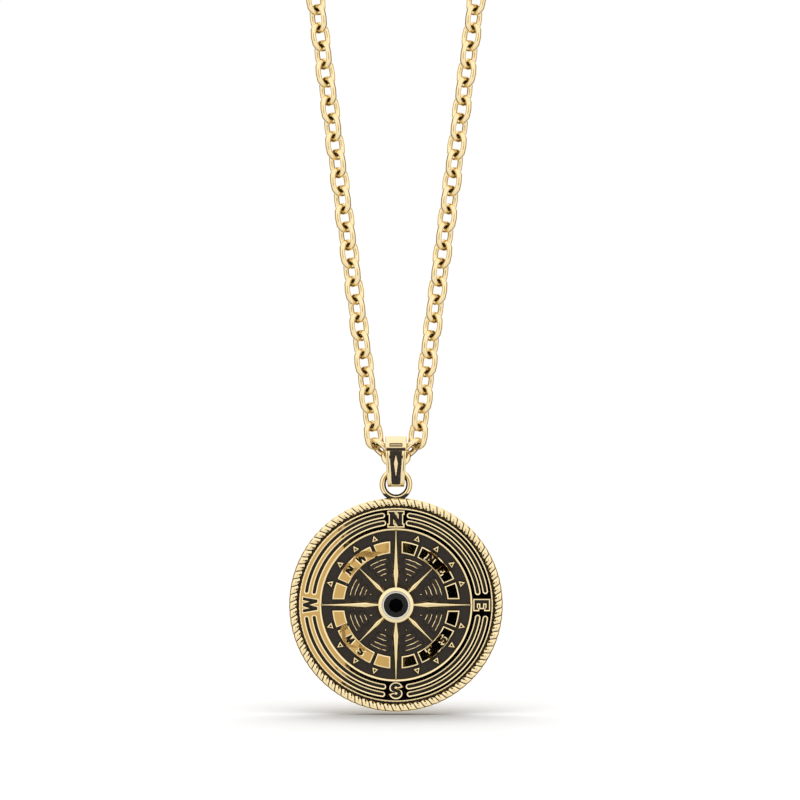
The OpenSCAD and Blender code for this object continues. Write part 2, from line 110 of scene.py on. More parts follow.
class DiscSizes(bpy.types.PropertyGroup):
    """Sizes of the disc and of all that stands on it."""

    ground: length("Ground height", "Height of the dark ground over the middle of the disc", 0.3)
    back: length("Back depth", "Depth of the plate's back under the middle of the disc", 0.8)
    relief: length("Relief height", "Height of the polished relief over the ground", 0.4)
    rope_w: length("Rope width", "Width of the rope edge", 1.16)
    strands: bpy.props.IntProperty(
        name="Strands", description="Strands that show round the edge", default=84, min=12
    )
    groove: length("Groove width", "Width of the dark groove inside the rope edge", 0.15)
    band_w: length("Ring width", "Width of the raised ring that holds the letters", 2.96)
    lip: length("Lip", "Width of the raised lip along the ring's inner edge", 0.27)
    slot_out: length("Outer slot", "Width of the outer slots", 0.345)
    slot_in: length("Inner slot", "Width of the inner slots", 0.36)
    rail_out: length("Outer rail", "Width of the rail outside the outer slots", 0.71)
    rail_in: length("Inner rail", "Width of the rail inside the inner slots", 0.9)
    slot_free: turn("Letter room", "Angle left free on each side of a letter", 7.8)
    letter: length("Letter height", "Height of the four large letters", 1.85)
    small_letter: length("Small letter height", "Height of the letters on the name plates", 1.1)
    mark_gap: length("Triangle gap", "Gap between the ring and the triangles", 0.17)
    mark_h: length("Triangle height", "Height of a triangle", 0.86)
    mark_w: length("Triangle width", "Width of a triangle", 0.95)
    plate_gap: length("Plate gap", "Gap between the triangles and the name plates", 0.33)
    name_w: length("Plate width", "Width of the name plates", 1.62)
    name_half: turn("Plate half angle", "Half the angle of a long name plate", 21.25)
    name_space: turn("Plate space", "Angle between a long plate and its neighbours", 2.8)
    plate_lean: turn("Plate lean", "Small turn of each name plate to the left", 0.85)
    needle_room: length("Needle room", "Distance from a short plate to the middle of its needle", 0.72)
    rib_pitch: length("Rib pitch", "Distance from rib to rib", 1.24)
    rib_w: length("Rib width", "Width of a rib", 0.76)
    rib_h: length("Rib height", "Height of a rib over the ground", 0.22)
    rib_gap: length("Rib gap", "Gap between the name plates and the first rib", 0.55)
    needle_w: length("Needle width", "Greatest width of the long needles", 0.76)
    short_w: length("Short needle width", "Greatest width of the short needles", 0.64)
    needle_h: length("Needle height", "Height of the needles over the ground", 0.55)
    bezel_r: length("Bezel radius", "Outer radius of the bezel", 2.37)
    bezel_h: length("Bezel height", "Height of the bezel over the ground", 1.17)
    seat_r: length("Seat radius", "Radius of the seat that the stone sits in", 1.75)
    stone_r: length("Stone opening", "Radius of the part of the stone that shows", 1.61)
    ring_wire: length("Ring wire", "Wire of the ring on the disc", 0.84)
    ring_hole: length("Ring hole", "Inner diameter of the ring on the disc", 2.65)
    solder: length("Solder height", "Height of solder between the ring and the rope edge", 0.42)


class ChainSizes(bpy.types.PropertyGroup):
    """Sizes of the chain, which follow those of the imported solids."""

    wire: length("Link wire", "Wire of a link", 0.75)
    full: bpy.props.FloatProperty(
        name="Fullness", description="Widens the six-sided wire to look as full as a round one", default=1.05
    )
    fill: length("Bend filling", "Filling inside the bends of a link", 0.07)
    pitch: length("Pitch", "Distance from link to link", 2.39)
    link_w: length("Link width", "Outer width of a link", 3.1)
    play: length("Play", "Play between two links", 0.12)
    roll: turn("Link roll", "Turn of the links about the line of the chain", 40)
    middle_roll: turn("Middle roll", "Turn of the middle link", 117)
    side: turn("Side angle", "Angle of each side from the vertical", 7.6)
    shoulder: turn("Shoulder angle", "Steepness of the links beside the middle one", 43.5)
    shoulder_roll: turn("Shoulder roll", "Turn of those links about their own line", 24)
    links: bpy.props.IntProperty(
        name="Links", description="Links to the left of the middle one", default=112, min=10
    )
    straight: bpy.props.IntProperty(
        name="Straight links", description="Links on the straight part", default=91, min=5
    )
    clasp: length("Clasp length", "Length of the clasp between its two rings", 9)
    end_wire: length("End ring wire", "Wire of the clasp's end ring", 0.9)
    end_hole: length("End ring hole", "Inner diameter of the clasp's end ring", 3.1)


class FinishColours(bpy.types.PropertyGroup):
    """Colours of the metals and the stone."""

    gold: tint("Gold", "Pale yellow gold plate, polished", "F3E0B2")
    # The dark ground colour also serves as painted shade in the chain's bends, under the ring on the disc and
    # in the rope's hollows.
    dark: tint("Dark ground", "Blackening left in the low places", "2B241D")
    worn: tint("Worn edge", "Gold that shows through the blackening", "A9803F")
    bright: tint("Bright cut", "White metal of the cut inside the bezel", "E4DED0")
    stone: tint("Stone", "Body colour of the black stone", "060507")


class StageSizes(bpy.types.PropertyGroup):
    """Camera, floor and light."""

    distance: length("Camera distance", "Distance from the camera to the pendant", 450)
    view_w: length("View width", "Width that the camera takes in at the pendant", 104.7)
    aim_x: length("Aim across", "How far to the right of the middle the camera aims", 0.53)
    aim_up: length("Aim height", "How far above the middle of the disc the camera aims", 26.78)
    floor_gap: length("Floor gap", "Gap between the disc and the floor", 0.35)
    floor_size: length("Floor size", "Size of the floor", 320)


# Outlines of the letters, as shares of their height, counter-clockwise. N is one half of a figure
# that looks the same when turned round.
HALF_N = [
    (-0.51, -0.5), (-0.11, -0.5), (-0.11, -0.4), (-0.21, -0.4), (-0.21, 0.14), (0.11, -0.43),
    (0.11, -0.5), (0.51, -0.5), (0.51, -0.4), (0.41, -0.4), (0.41, 0.4), (0.51, 0.4),
]
LETTER_E = [
    (-0.33, -0.5), (0.35, -0.5), (0.35, -0.27), (0.27, -0.27), (0.2, -0.36), (-0.12, -0.36),
    (-0.12, -0.08), (0.2, -0.08), (0.2, 0.08), (-0.12, 0.08), (-0.12, 0.36), (0.2, 0.36),
    (0.27, 0.27), (0.35, 0.27), (0.35, 0.5), (-0.33, 0.5),
]
LETTER_W = [
    (-0.35, -0.5), (-0.17, -0.5), (0, 0.155), (0.17, -0.5), (0.35, -0.5), (0.52, 0.5), (0.34, 0.5),
    (0.24, -0.08), (0.09, 0.5), (-0.09, 0.5), (-0.24, -0.08), (-0.34, 0.5), (-0.52, 0.5),
]


def arc(radius, start, end, count, middle=(0.0, 0.0), wide=1.0):
    """Points on an arc, with both ends."""
    turns = [start + (end - start) * i / count for i in range(count + 1)]
    return [(middle[0] + radius * wide * math.cos(t), middle[1] + radius * math.sin(t)) for t in turns]


def letter_outline(which):
    """The outline of a letter, as shares of its height."""
    if which == "N":
        return HALF_N + [(-x, -y) for x, y in HALF_N]
    if which == "E":
        return LETTER_E
    if which == "W":
        return LETTER_W
    low, high, thin, thick, wide = math.radians(20), math.radians(270), 0.1, 0.3, 1.21
    top, foot = (0, 0.2), (0, -0.2)
    half = math.pi
    return (
        arc(thick, low, high, 12, top, wide)
        + arc(thin, high - half, low - half, 10, foot, wide)[1:]
        + arc(thick, low - half, high - half, 12, foot, wide)
        + arc(thin, high, low, 10, top, wide)[1:]
    )


def at_bearing(points, bearing, radius):
    """Moves a drawing to a bearing, clockwise from north, with north up at its middle."""
    c, s = math.cos(-bearing), math.sin(-bearing)
    return [(x * c - (y + radius) * s, x * s + (y + radius) * c) for x, y in points]


def sector(inner, outer, start, end, step=math.radians(2.5)):
    """The outline of a piece of a ring between two bearings."""
    count = max(2, math.ceil((end - start) / step))
    north = math.pi / 2
    return arc(outer, north - end, north - start, count) + arc(inner, north - start, north - end, count)


def slot_outline(radius, width, free):
    """The outline of a slot with round ends, in the quarter from north to east."""
    end = math.asin(width / 2 / radius)
    north, half = math.pi / 2, width / 2
    start, stop = free + end, north - free - end
    count = 28
    first = at_bearing([(0, 0)], start, radius)[0]
    last = at_bearing([(0, 0)], stop, radius)[0]
    return (
        arc(radius + half, north - stop, north - start, count)
        + arc(half, north - start, north - start + math.pi, 8, first)[1:-1]
        + arc(radius - half, north - start, north - stop, count)
        + arc(half, north - stop + math.pi, north - stop + 2 * math.pi, 8, last)[1:-1]
    )


def raise_region(bm, loops, foot, top, steps, gilt_low=0.0):
    """Raises the flat region inside the first loop and outside the others from foot to top.

    Each step gives how far the edge comes in, how far it rises and how much gold shows there.
    """
    gilt_and_shade = bm.verts.layers.float["gilt_and_shade"]
    edges = []
    for loop in loops:
        ring = [bm.verts.new((x, y, foot)) for x, y in loop]
        edges += [bm.edges.new((a, b)) for a, b in zip(ring, ring[1:] + ring[:1])]
    region = bmesh.ops.triangle_fill(bm, use_beauty=True, use_dissolve=False, edges=edges, normal=(0, 0, 1))
    base = [g for g in region["geom"] if isinstance(g, bmesh.types.BMFace)]
    bmesh.ops.recalc_face_normals(bm, faces=base)
    if base[0].normal.z < 0:
        bmesh.ops.reverse_faces(bm, faces=base)
    grown = bmesh.ops.extrude_face_region(bm, geom=base, use_keep_orig=True)["geom"]
    faces = [g for g in grown if isinstance(g, bmesh.types.BMFace)]
    verts = [g for g in grown if isinstance(g, bmesh.types.BMVert)]
    bmesh.ops.translate(bm, vec=(0, 0, top - foot - sum(s[1] for s in steps)), verts=verts)
    for v in verts:
        v[gilt_and_shade] = gilt_low
    bmesh.ops.reverse_faces(bm, faces=base)
    for inward, rise, shine in steps:
        bmesh.ops.inset_region(
            bm, faces=faces, use_boundary=True, use_even_offset=True, thickness=inward, depth=0.0
        )
        moved = list({v for f in faces for v in f.verts})
        bmesh.ops.translate(bm, vec=(0, 0, rise), verts=moved)
        for v in moved:
            v[gilt_and_shade] = shine
    return faces


def spin_round(bm, geom, steps):
    """Spins points and edges once about the upright axis and joins the ends."""
    bmesh.ops.spin(
        bm, geom=geom, cent=(0, 0, 0), axis=(0, 0, 1), dvec=(0, 0, 0), angle=FULL_TURN, steps=steps,
        use_merge=True,
    )


def spin_profile(bm, points, steps):
    """Turns a closed profile of (radius, height) about the upright axis and joins its ends."""
    ring = [bm.verts.new((r, 0, z)) for r, z in points]
    edges = [bm.edges.new((a, b)) for a, b in zip(ring, ring[1:] + ring[:1])]
    spin_round(bm, ring + edges, steps)
    bmesh.ops.remove_doubles(bm, verts=bm.verts, dist=SAME_PLACE)


def round_wire(bm, radius, wire, steps, sides, stretch=0.0):
    """A ring of round wire about the upright axis, pulled apart along x into an oval."""
    before = set(bm.verts)
    circle = bmesh.ops.create_circle(bm, cap_ends=False, segments=sides, radius=wire / 2)["verts"]
    edges = list({e for v in circle for e in v.link_edges})
    bmesh.ops.rotate(bm, verts=circle, cent=(0, 0, 0), matrix=Matrix.Rotation(math.pi / 2, 3, "X"))
    bmesh.ops.translate(bm, vec=(radius, 0, 0), verts=circle)
    spin_round(bm, circle + edges, steps)
    made = [v for v in bm.verts if v not in before]
    for v in made:
        if stretch and abs(v.co.x) > wire / 20:
            v.co.x += math.copysign(stretch / 2, v.co.x)
    return made


def new_bmesh():
    """An empty mesh whose points tell how much gold shows there, and where shade is painted dark over it."""
    bm = bmesh.new()
    bm.verts.layers.float.new("gilt_and_shade")
    return bm


def finish_piece(bm, name, materials, body, replaced, place=None, sharp=35):
    """Makes the piece an object in its place, riding on its body and standing for its solids."""
    bmesh.ops.recalc_face_normals(bm, faces=bm.faces)
    curved = [abs(face.normal.z) < LEVEL for face in bm.faces]
    if place is not None:
        bmesh.ops.transform(bm, matrix=place, verts=bm.verts)
    mesh = bpy.data.meshes.new(name)
    bm.to_mesh(mesh)
    bm.free()
    for material in materials:
        mesh.materials.append(material)
    mesh.set_sharp_from_angle(angle=math.radians(sharp))
    mesh.polygons.foreach_set("use_smooth", curved)
    piece = bpy.data.objects.new(name, mesh)
    bpy.context.scene.collection.objects.link(piece)
    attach(piece, body)
    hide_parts(*replaced)
    return piece


def add_node(tree, kind, settings=None, inputs=None):
    """Adds a node with its settings, and with values or links on its inputs."""
    node = tree.nodes.new(kind)
    for key, value in (settings or {}).items():
        setattr(node, key, value)
    for key, value in (inputs or {}).items():
        socket = node.inputs[key]
        if isinstance(value, bpy.types.NodeSocket):
            tree.links.new(value, socket)
        else:
            socket.default_value = value
    return node


def ramp(node, stops):
    """Sets a colour ramp's stops, as pairs of a place and a grey or a colour."""
    elements = node.color_ramp.elements
    while len(elements) < len(stops):
        elements.new(0.5)
    for element, (place, value) in zip(elements, stops):
        element.position = place
        element.color = value if isinstance(value, tuple) else (value, value, value, 1.0)


def new_material(name):
    """An empty material with its output, its tree and coordinates on the object."""
    material = bpy.data.materials.get(name) or bpy.data.materials.new(name)
    material.use_nodes = True
    material.node_tree.nodes.clear()
    tree = material.node_tree
    place = add_node(tree, "ShaderNodeTexCoord").outputs["Object"]
    return material, tree, place


def colours():
    """The colours that the panel holds."""
    return bpy.context.scene.compass_colours


def polished_gold():
    """Yellow gold plate over brass, polished on a wheel."""
    # A wheel leaves a mirror with slow waves and a trace of haze, so highlights are soft at their rim.
    material, tree, place = new_material("gold_plate_polished")
    waves = add_node(
        tree, "ShaderNodeTexNoise", None, {"Vector": place, "Scale": 1 / (1.2 * MM), "Detail": 2.0}
    )
    haze = add_node(tree, "ShaderNodeTexNoise", None, {"Vector": place, "Scale": 1 / (0.5 * MM), "Detail": 4.0})
    rough = add_node(
        tree, "ShaderNodeMapRange", None,
        {"Value": haze.outputs["Fac"], "From Min": 0.3, "From Max": 0.7, "To Min": 0.1, "To Max": 0.19},
    )
    bump = add_node(
        tree, "ShaderNodeBump", None, {"Height": waves.outputs["Fac"], "Strength": 0.12, "Distance": 0.02 * MM}
    )
    shader = add_node(
        tree, "ShaderNodeBsdfPrincipled", None,
        {
            "Base Color": tuple(colours().gold), "Metallic": 1.0, "Roughness": rough.outputs["Result"],
            "Normal": bump.outputs["Normal"],
        },
    )
    add_node(tree, "ShaderNodeOutputMaterial", None, {"Surface": shader.outputs["BSDF"]})
    return material


def antiqued_gold():
    """Polished gold relief on a ground that was blackened and wiped."""
    # Wiping leaves the blackening low down and in corners, with a brown seam where the gold begins. The same
    # dark also serves as painted shade where a piece lowers how much gold shows to stand in for shade.
    material, tree, place = new_material("gold_plate_antiqued")
    gilt_and_shade = add_node(tree, "ShaderNodeAttribute", {"attribute_name": "gilt_and_shade"}).outputs["Fac"]
    patches = add_node(
        tree, "ShaderNodeTexNoise", None, {"Vector": place, "Scale": 1 / (0.35 * MM), "Detail": 5.0}
    )
    waves = add_node(
        tree, "ShaderNodeTexNoise", None, {"Vector": place, "Scale": 1 / (1.6 * MM), "Detail": 1.0}
    )
    grit = add_node(
        tree, "ShaderNodeTexNoise", None, {"Vector": place, "Scale": 1 / (0.12 * MM), "Detail": 3.0}
    )
    broken = add_node(
        tree, "ShaderNodeMath", {"operation": "MULTIPLY_ADD"},
        {0: patches.outputs["Fac"], 1: 0.5, 2: -0.25},
    )
    amount = add_node(tree, "ShaderNodeMath", {"operation": "ADD"}, {0: gilt_and_shade, 1: broken.outputs[0]})
    shine = add_node(
        tree, "ShaderNodeMapRange", {"interpolation_type": "SMOOTHSTEP"},
        {"Value": amount.outputs[0], "From Min": 0.3, "From Max": 0.62},
    )
    dark = add_node(tree, "ShaderNodeValToRGB", None, {"Fac": patches.outputs["Fac"]})
    ground = Vector(colours().dark[:3])
    ramp(dark, [(at, (*(ground * share), 1.0)) for at, share in ((0.3, 0.8), (0.7, 1.3))])
    blend = add_node(tree, "ShaderNodeValToRGB", None, {"Fac": shine.outputs["Result"]})
    ramp(blend, [(0.0, 0.0), (0.5, tuple(colours().worn)), (1.0, tuple(colours().gold))])
    cover = add_node(
        tree, "ShaderNodeMapRange", None, {"Value": shine.outputs["Result"], "From Min": 0.0, "From Max": 0.5}
    )
    colour = add_node(
        tree, "ShaderNodeMix", {"data_type": "RGBA"},
        {"Factor": cover.outputs["Result"], 6: dark.outputs["Color"], 7: blend.outputs["Color"]},
    )
    metal = add_node(
        tree, "ShaderNodeMapRange", None, {"Value": shine.outputs["Result"], "To Min": 0.25, "To Max": 1.0}
    )
    rough = add_node(
        tree, "ShaderNodeMapRange", None, {"Value": shine.outputs["Result"], "To Min": 0.62, "To Max": 0.035}
    )
    soft = add_node(
        tree, "ShaderNodeBump", None, {"Height": waves.outputs["Fac"], "Strength": 0.25, "Distance": 0.02 * MM}
    )
    rest = add_node(
        tree, "ShaderNodeMapRange", None, {"Value": shine.outputs["Result"], "To Min": 0.35, "To Max": 0.0}
    )
    pits = add_node(
        tree, "ShaderNodeBump", None,
        {
            "Height": grit.outputs["Fac"], "Strength": rest.outputs["Result"], "Distance": 0.03 * MM,
            "Normal": soft.outputs["Normal"],
        },
    )
    shader = add_node(
        tree, "ShaderNodeBsdfPrincipled", None,
        {
            "Base Color": colour.outputs["Result"], "Metallic": metal.outputs["Result"],
            "Roughness": rough.outputs["Result"], "Normal": pits.outputs["Normal"],
        },
    )
    add_node(tree, "ShaderNodeOutputMaterial", None, {"Surface": shader.outputs["BSDF"]})
    return material


def bright_cut():
    """White metal, cut with a diamond tool inside the bezel."""
    # The tool's marks are too fine to see, and only break up the gloss of a silky, nearly white band.
    material, tree, place = new_material("white_metal_bright_cut")
    rings = add_node(
        tree, "ShaderNodeTexNoise", None, {"Vector": place, "Scale": 1 / (0.2 * MM), "Detail": 2.0}
    )
    rough = add_node(
        tree, "ShaderNodeMapRange", None, {"Value": rings.outputs["Fac"], "To Min": 0.12, "To Max": 0.24}
    )
    shader = add_node(
        tree, "ShaderNodeBsdfPrincipled", None,
        {"Base Color": tuple(colours().bright), "Metallic": 1.0, "Roughness": rough.outputs["Result"]},
    )
    add_node(tree, "ShaderNodeOutputMaterial", None, {"Surface": shader.outputs["BSDF"]})
    return material


def black_spinel():
    """Black spinel, cut and polished."""
    # It lets no light through, and its hard polish makes each facet a small clear mirror.
    material, tree, place = new_material("black_spinel_polished")
    trace = add_node(
        tree, "ShaderNodeTexNoise", None, {"Vector": place, "Scale": 1 / (0.4 * MM), "Detail": 2.0}
    )
    rough = add_node(
        tree, "ShaderNodeMapRange", None, {"Value": trace.outputs["Fac"], "To Min": 0.02, "To Max": 0.06}
    )
    shader = add_node(
        tree, "ShaderNodeBsdfPrincipled", None,
        {
            "Base Color": tuple(colours().stone), "Roughness": rough.outputs["Result"], "IOR": 1.45,
            "Specular IOR Level": 0.3,
        },
    )
    add_node(tree, "ShaderNodeOutputMaterial", None, {"Surface": shader.outputs["BSDF"]})
    return material


def relief_steps():
    """How a polished edge on the disc is rounded: inward, upward, and how much gold shows."""
    return [(0.03 * MM, 0.05 * MM, 0.9), (0.11 * MM, 0.07 * MM, 1.0), (0.04 * MM, 0.006 * MM, 1.0)]


class DiscPiece:
    """What the operators of the disc's pieces share."""

    bl_options = {"REGISTER", "UNDO"}

    def sizes(self, context):
        """The disc's sizes, with the radii that follow from them."""
        s = context.scene.compass_disc
        self.rope_in = DISC_R - s.rope_w
        self.band_out = self.rope_in - s.groove
        self.band_in = self.band_out - s.band_w
        self.mark_in = self.band_in - s.mark_gap - s.mark_h
        self.name_out = self.mark_in - s.plate_gap
        self.name_in = self.name_out - s.name_w
        self.top = s.ground + s.relief
        self.sunk = s.ground - 0.06 * MM
        return s

    def finish(self, bm, name, material=None, sharp=35):
        """Stands a piece of the disc upright."""
        materials = material or [antiqued_gold()]
        return finish_piece(bm, name, materials, "pendant", ["medallion"], UPRIGHT, sharp)


class COMPASS_OT_plate(DiscPiece, bpy.types.Operator):
    """Makes the plate of the disc, with its dark ground and its plain back"""

    bl_idname = "compass.plate"
    bl_label = "Plate"

    def execute(self, context):
        s = self.sizes(context)
        edge, soft, floor = self.rope_in + 0.2 * MM, 0.12 * MM, 0.06 * MM
        bm = new_bmesh()
        spin_profile(
            bm,
            [
                (0, -s.back), (self.rope_in * 0.5, -s.back), (edge - soft, -s.back), (edge, -s.back + soft),
                (edge, s.ground), (self.band_out * 0.98, s.ground), (self.name_in, s.ground),
                (s.bezel_r * 0.9, s.ground), (s.seat_r, s.ground), (s.seat_r, floor), (0, floor),
            ],
            128,
        )
        gilt_and_shade = bm.verts.layers.float["gilt_and_shade"]
        for v in bm.verts:
            v[gilt_and_shade] = 1.0 if v.co.z < 0 else 0.0
        self.finish(bm, "disc_plate")
        return {"FINISHED"}


class COMPASS_OT_ring(DiscPiece, bpy.types.Operator):
    """Makes the raised ring of the compass, with its slots and its four letters"""

    bl_idname = "compass.ring"
    bl_label = "Compass ring"

    def execute(self, context):
        s = self.sizes(context)
        middle = (self.band_out + self.band_in) / 2
        quarter = math.pi / 2
        inner_edge = self.band_in + 0.05 * MM
        loops = [arc(self.band_out, 0, FULL_TURN, 180)[:-1], arc(inner_edge, 0, FULL_TURN, 144)[:-1]]
        outer = slot_outline(self.band_out - s.rail_out - s.slot_out / 2, s.slot_out, s.slot_free)
        inner = slot_outline(self.band_in + s.rail_in + s.slot_in / 2, s.slot_in, s.slot_free)
        for q, which in enumerate("NESW"):
            loops += [at_bearing(outer, quarter * q, 0), at_bearing(inner, quarter * q, 0)]
            drawn = [(x * s.letter, y * s.letter) for x, y in letter_outline(which)]
            loops.append(at_bearing(drawn, quarter * q, middle))
        bm = new_bmesh()
        self.lip(bm, s)
        raise_region(bm, loops, self.sunk, self.top, relief_steps(), 0.35)
        self.finish(bm, "compass_ring")
        return {"FINISHED"}

    def lip(self, bm, s):
        """The raised lip, whose wide slope faces the middle of the disc."""
        near, far, top = self.band_in, self.band_in + s.lip, self.top
        spin_profile(
            bm,
            [
                (near, self.sunk), (near, top - 0.13 * MM), (near + 0.02 * MM, top - 0.09 * MM),
                (far - 0.09 * MM, top + 0.02 * MM), (far - 0.05 * MM, top + 0.035 * MM),
                (far - 0.02 * MM, top + 0.025 * MM), (far, top - 0.02 * MM), (far, self.sunk),
            ],
            168,
        )
        gilt_and_shade = bm.verts.layers.float["gilt_and_shade"]
        for v in bm.verts:
            v[gilt_and_shade] = 1.0 if v.co.z > top - 0.14 * MM else 0.3


class COMPASS_OT_name_plates(DiscPiece, bpy.types.Operator):
    """Makes the name plates, four long ones with two letters each and eight short ones"""

    bl_idname = "compass.name_plates"
    bl_label = "Name plates"

    def execute(self, context):
        s = self.sizes(context)
        quarter, diagonal = math.pi / 2, math.pi / 4
        middle = (self.name_out + self.name_in) / 2
        apart = math.radians(8)
        short_end = diagonal - s.name_half - s.name_space
        bm = new_bmesh()
        for q, pair in enumerate(("NE", "SE", "SW", "NW")):
            turned = quarter * q
            long_plate = sector(
                self.name_in, self.name_out, turned + diagonal - s.name_half, turned + diagonal + s.name_half
            )
            letters = [
                at_bearing(
                    [(x * s.small_letter, y * s.small_letter) for x, y in letter_outline(which)],
                    turned + diagonal + side * apart, middle,
                )
                for which, side in zip(pair, (-1, 1))
            ]
            raise_region(bm, [long_plate] + letters, self.sunk, self.top, relief_steps(), 0.35)
            start_in = math.asin(s.needle_room / self.name_in)
            start_out = math.asin(s.needle_room / self.name_out)
            north = math.pi / 2
            short = arc(self.name_out, north - short_end, north - start_out, 5) + arc(
                self.name_in, north - start_in, north - short_end, 5
            )
            for mirrored in (1, -1):
                points = [(x * mirrored, y) for x, y in short][::mirrored]
                raise_region(bm, [at_bearing(points, turned, 0)], self.sunk, self.top, relief_steps(), 0.35)
        self.lean(bm, s.plate_lean)
        self.finish(bm, "name_plates")
        return {"FINISHED"}

    def lean(self, bm, angle):
        """Turns each plate a little to the left, so that its flat top mirrors another place than the ring."""
        left = set(bm.verts)
        while left:
            island, edge = set(), {left.pop()}
            while edge:
                island |= edge
                edge = {e.other_vert(v) for v in edge for e in v.link_edges} - island
            left -= island
            xs = [v.co.x for v in island]
            middle = (min(xs) + max(xs)) / 2
            for v in island:
                v.co.z += (v.co.x - middle) * math.tan(angle)


class COMPASS_OT_triangles(DiscPiece, bpy.types.Operator):
    """Makes the sixteen triangles, each with a bright rim and a dark middle"""

    bl_idname = "compass.triangles"
    bl_label = "Triangles"

    def execute(self, context):
        s = self.sizes(context)
        steps = [(0.03 * MM, 0.05 * MM, 0.9), (0.13 * MM, 0.06 * MM, 1.0), (0.04 * MM, -0.1 * MM, 0.1)]
        drawn = [(-s.mark_w / 2, 0), (s.mark_w / 2, 0), (0, s.mark_h)]
        bm = new_bmesh()
        for q in range(4):
            for m in range(1, 5):
                bearing = math.radians(90 * q + 18 * m)
                triangle = at_bearing(drawn, bearing, self.mark_in)
                raise_region(bm, [triangle], self.sunk, self.top - 0.1 * MM, steps, 0.4)
        self.finish(bm, "triangles")
        return {"FINISHED"}


class COMPASS_OT_ribs(DiscPiece, bpy.types.Operator):
    """Makes the low ribs between the needles, worn to gold on their edges"""

    bl_idname = "compass.ribs"
    bl_label = "Ribs"

    def execute(self, context):
        s = self.sizes(context)
        steps = [(0.05 * MM, 0.07 * MM, 0.58), (0.06 * MM, 0.03 * MM, 0.6), (0.06 * MM, -0.04 * MM, 0.1)]
        eighth = math.pi / 4
        bm = new_bmesh()
        for e in range(8):
            for k in range(3):
                outer = self.name_in - s.rib_gap - k * s.rib_pitch
                inner = outer - (s.rib_w if k < 2 else s.rib_w / 2)
                inset = s.needle_w * (1.1 if k < 2 else 1.6)
                start = math.asin(inset / inner)
                loop = sector(inner, outer, eighth * e + start, eighth * (e + 1) - start, math.radians(4))
                raise_region(bm, [loop], self.sunk, s.ground + s.rib_h, steps, 0.1)
        gilt_and_shade = bm.verts.layers.float["gilt_and_shade"]
        # The ribs are dark beside the needles, and their edges waver a little, as cast ones do.
        for v in bm.verts:
            away = math.hypot(v.co.x, v.co.y)
            bearing = math.atan2(v.co.x, v.co.y) % eighth
            side = away * math.sin(min(bearing, eighth - bearing)) - s.needle_w * 1.1
            v[gilt_and_shade] *= min(1.0, max(0.0, side / (0.35 * MM) - 0.4))
            wave = 0.022 * MM * math.sin(math.atan2(v.co.y, v.co.x) * 41 + away / (0.09 * MM))
            v.co += Vector((v.co.x, v.co.y, 0)).normalized() * wave
        self.finish(bm, "ribs")
        return {"FINISHED"}


class COMPASS_OT_needles(DiscPiece, bpy.types.Operator):
    """Makes the eight needles of the compass, rounded along their length"""

    bl_idname = "compass.needles"
    bl_label = "Needles"

    def execute(self, context):
        s = self.sizes(context)
        bm = new_bmesh()
        gilt_and_shade = bm.verts.layers.float["gilt_and_shade"]
        across, along = 8, 24
        root, widest = s.bezel_r - 0.1 * MM, 0.24
        for e in range(8):
            long = e % 2 == 0
            tip = self.band_in if long else self.name_in
            wide = s.needle_w if long else s.short_w
            high = s.needle_h if long else s.needle_h * 0.9
            turned = Matrix.Rotation(-math.pi / 4 * e, 4, "Z")
            grid = bmesh.ops.create_grid(bm, x_segments=across, y_segments=along, size=1.0)["verts"]
            for v in grid:
                u, t = v.co.x, (v.co.y + 1) / 2
                share = (
                    0.5 + 0.6 * t / widest if t < widest else 1.1 - 0.8 * ((t - widest) / (1 - widest)) ** 0.9
                )
                flare = 1.0 + 0.45 * abs(u) ** 6
                half = wide / 2 * share
                body = math.sqrt(max(0.0, 1 - u * u))
                crest = s.ground - self.sunk + high * (0.72 + 0.28 * share)
                v.co = Vector((u * half * flare, root + (tip - root) * t, self.sunk + crest * body))
                # Each needle darkens toward the ground on both sides: blackening left in that corner, and
                # painted shade along its foot.
                v[gilt_and_shade] = 0.25 + 0.75 * min(1.0, body * 1.5)
            rim = [edge for edge in bm.edges if edge.is_boundary and edge.verts[0] in grid]
            bmesh.ops.holes_fill(bm, edges=rim, sides=0)
            bmesh.ops.transform(bm, matrix=turned, verts=grid)
        self.finish(bm, "needles", sharp=60)
        return {"FINISHED"}


class COMPASS_OT_bezel(DiscPiece, bpy.types.Operator):
    """Makes the bezel round the stone, gold outside and bright cut inside"""

    bl_idname = "compass.bezel"
    bl_label = "Bezel"

    def execute(self, context):
        s = self.sizes(context)
        top = s.ground + s.bezel_h
        r, seat, inner = s.bezel_r, s.seat_r, s.stone_r
        # The gold slope up to the crest and the groove inside it, as millimetres inward and down.
        slope = (
            (0, 0.42), (0.03, 0.34), (0.12, 0.26), (0.28, 0.14), (0.42, 0.03), (0.46, 0), (0.49, 0.02),
            (0.505, 0.1), (0.52, 0.04), (0.62, 0.08), (0.64, 0.11),
        )
        seat_side = [
            (inner, top - 0.14 * MM), (inner, top - 0.155 * MM), (seat, top - 0.26 * MM), (seat, 0.2 * MM),
            (seat + 0.2 * MM, 0.1 * MM),
        ]
        bm = new_bmesh()
        outside = [(r - inward * MM, top - down * MM) for inward, down in slope]
        spin_profile(bm, [(r, self.sunk)] + outside + seat_side, 96)
        gilt_and_shade = bm.verts.layers.float["gilt_and_shade"]
        for v in bm.verts:
            away = math.hypot(v.co.x, v.co.y)
            groove = r - 0.51 * MM < away < r - 0.5 * MM
            v[gilt_and_shade] = 0.2 if v.co.z < s.ground or groove else 1.0
        for f in bm.faces:
            middle = f.calc_center_median()
            if math.hypot(middle.x, middle.y) < r - 0.5 * MM:
                f.material_index = 1
        self.finish(bm, "stone_bezel", [antiqued_gold(), bright_cut()])
        return {"FINISHED"}


